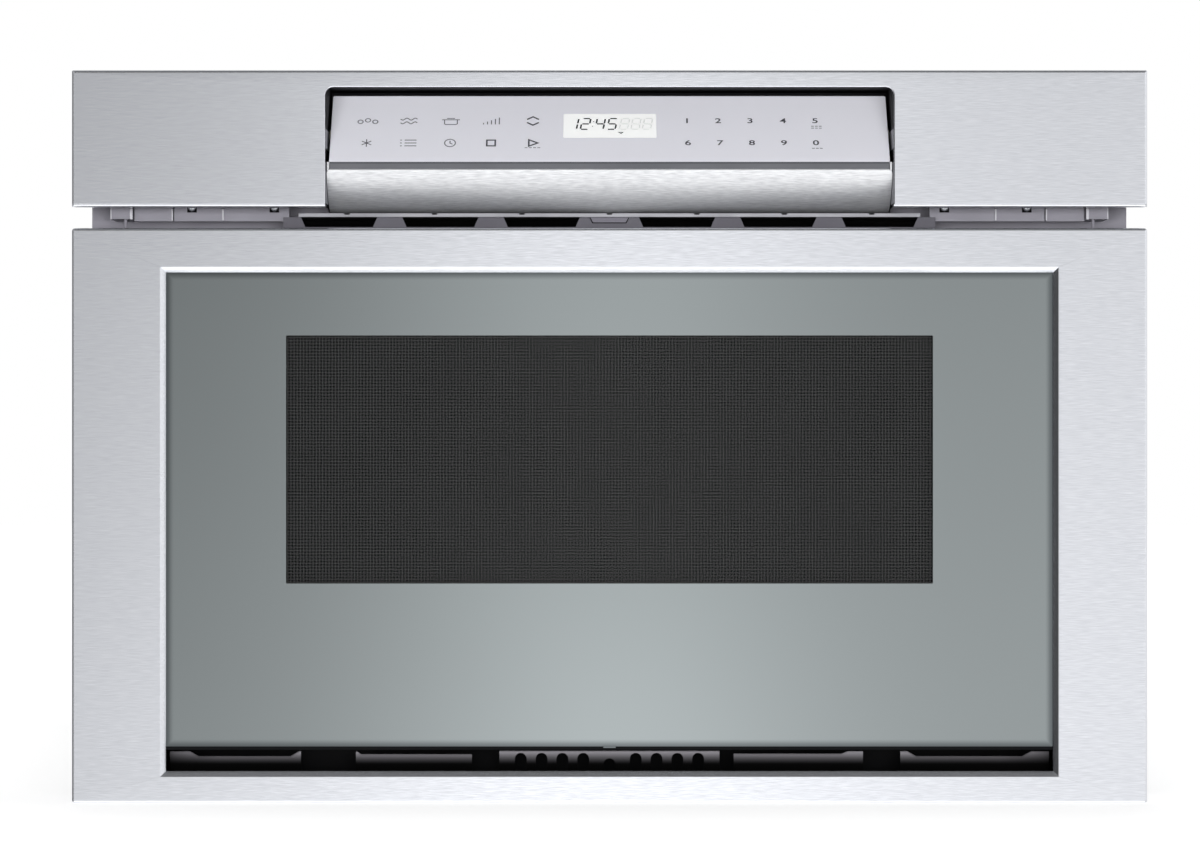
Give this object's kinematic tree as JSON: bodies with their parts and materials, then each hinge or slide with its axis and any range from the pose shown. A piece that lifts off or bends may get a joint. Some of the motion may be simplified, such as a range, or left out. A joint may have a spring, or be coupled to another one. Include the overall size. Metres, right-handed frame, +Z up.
{
  "type": "microwave drawer",
  "caption": "Built-in microwave drawer: stainless front with glass window, pull-out pan on telescopic rails driven by a rack, and a flip-out control panel above it.",
  "frame": {"origin": "middle of the underside of the base plate, on the floor of the cut-out", "axes": "+Z up, -Y towards the user (the drawer opens along -Y), +X to the user's right"},
  "size_m": [0.606, 0.645, 0.413],
  "materials": {
    "stainless_front": "brushed along the width",
    "painted_grey": "satin grey paint",
    "lip_aluminium": "satin",
    "zinc_sheet": "zinc-coated sheet",
    "black_painted_sheet": "matt black paint",
    "rail_steel": "zinc-plated",
    "plated_screws": "bright plated",
    "cavity_paint": "grey baked paint",
    "black_plastic": "fine moulded grain",
    "nylon": "natural moulded nylon",
    "stirrer_plate": "moulded",
    "stirrer_metal": "stamped",
    "magnetron_metal": "stamped fins",
    "transformer_steel": "varnished laminations",
    "can_metal": "drawn can",
    "board_green": "solder mask",
    "lamp_case": "moulded",
    "tinted_glass": "half-mirrored, polished",
    "clear_glass": "polished",
    "mesh_black": "black perforated sheet",
    "gasket_rubber": "soft",
    "plate_glass_ceramic": "glazed",
    "key_face": "silver-lavender touch face",
    "display": "backlit"
  },
  "bodies": {
    "root": {"base_plate": "zinc_sheet", "outer_wrap": "zinc_sheet", "rear_panel": "zinc_sheet", "front_flange": "painted_grey", "exhaust_grille": "painted_grey", "air_deflector": "lip_aluminium", "fascia_mounts": "painted_grey", "alignment_brackets": "painted_grey", "chassis_screws": "plated_screws", "fascia": "stainless_front", "recess_liner": "black_plastic", "panel_motor": "can_metal", "cavity_shell": "cavity_paint", "stirrer_cover": "stirrer_plate", "stirrer_motor": "can_metal", "waveguide": "zinc_sheet", "magnetron": "magnetron_metal", "hv_transformer": "transformer_steel", "hv_capacitor": "can_metal", "fan_shroud": "black_plastic", "fan_motor": "can_metal", "power_board": "board_green", "cord_gland": "black_plastic", "cavity_lamp": "lamp_case", "rail_outer_left": "rail_steel", "rail_outer_right": "rail_steel", "drive_bracket": "zinc_sheet", "drive_motor": "can_metal", "interlock_switches": "black_plastic"},
    "drawer": {"rail_inner_left": "rail_steel", "rail_inner_right": "rail_steel", "drawer_cross_bar": "zinc_sheet", "drive_rack": "nylon", "drawer_box": "cavity_paint", "tray_plate": "plate_glass_ceramic", "door_frame": "stainless_front", "door_glass": "tinted_glass", "glass_gasket": "gasket_rubber", "mesh_screen": "mesh_black", "door_inner_panel": "zinc_sheet", "door_back_panel": "black_painted_sheet", "choke_cover": "black_plastic", "inner_window": "clear_glass", "door_vent_plate": "painted_grey", "door_trim_strip": "black_painted_sheet", "latch_hooks": "black_plastic", "door_screws": "plated_screws"},
    "rail_middles": {"rail_middle_left": "rail_steel", "rail_middle_right": "rail_steel"},
    "control_panel": {"panel_housing": "black_plastic", "panel_face": "key_face", "display_window": "display", "panel_cover": "stainless_front", "control_board": "board_green", "panel_pivots": "nylon"},
    "cooling_fan": {"cooling_fan": "nylon"},
    "stirrer": {"stirrer": "stirrer_metal"},
    "drive_gear": {"drive_gear": "nylon"},
    "motor_gear": {"motor_gear": "nylon"},
    "panel_pinion": {"panel_pinion": "nylon"}
  },
  "joints": [
    {"name": "drawer_slide", "type": "slide", "parent": "root", "child": "drawer", "axis": [0, -1, 0], "range_m": [0, 0.381]},
    {"name": "rail_middle_slide", "type": "slide", "parent": "root", "child": "rail_middles", "axis": [0, -1, 0], "range_m": [0, 0.191]},
    {"name": "drive_gear_spin", "type": "hinge", "parent": "root", "child": "drive_gear", "pos_m": [0, -0.2575, 0.044], "axis": [1, 0, 0], "range_deg": [0, 1620]},
    {"name": "motor_gear_spin", "type": "hinge", "parent": "root", "child": "motor_gear", "pos_m": [0.009, -0.2275, 0.044], "axis": [1, 0, 0], "range_deg": [-6471, 0]},
    {"name": "control_panel_flip", "type": "hinge", "parent": "root", "child": "control_panel", "pos_m": [0, -0.3097, 0.366], "axis": [-1, 0, 0], "range_deg": [0, 61]},
    {"name": "panel_pinion_spin", "type": "hinge", "parent": "root", "child": "panel_pinion", "pos_m": [-0.1641, -0.3097, 0.384], "axis": [-1, 0, 0], "range_deg": [-123, 0]},
    {"name": "stirrer_spin", "type": "hinge", "parent": "root", "child": "stirrer", "pos_m": [0, -0.0725, 0.2725], "axis": [0, 0, 1], "continuous": true},
    {"name": "fan_spin", "type": "hinge", "parent": "root", "child": "cooling_fan", "pos_m": [0.15, 0.2475, 0.17], "axis": [0, 1, 0], "continuous": true}
  ],
  "couplings": [
    {"joint": "rail_middle_slide", "follows": "drawer_slide", "ratio": 0.5},
    {"joint": "drive_gear_spin", "follows": "drawer_slide", "rad_per_m": 74.074},
    {"joint": "motor_gear_spin", "follows": "drawer_slide", "rad_per_m": -296.3},
    {"joint": "panel_pinion_spin", "follows": "control_panel_flip", "ratio": -2}
  ]
}
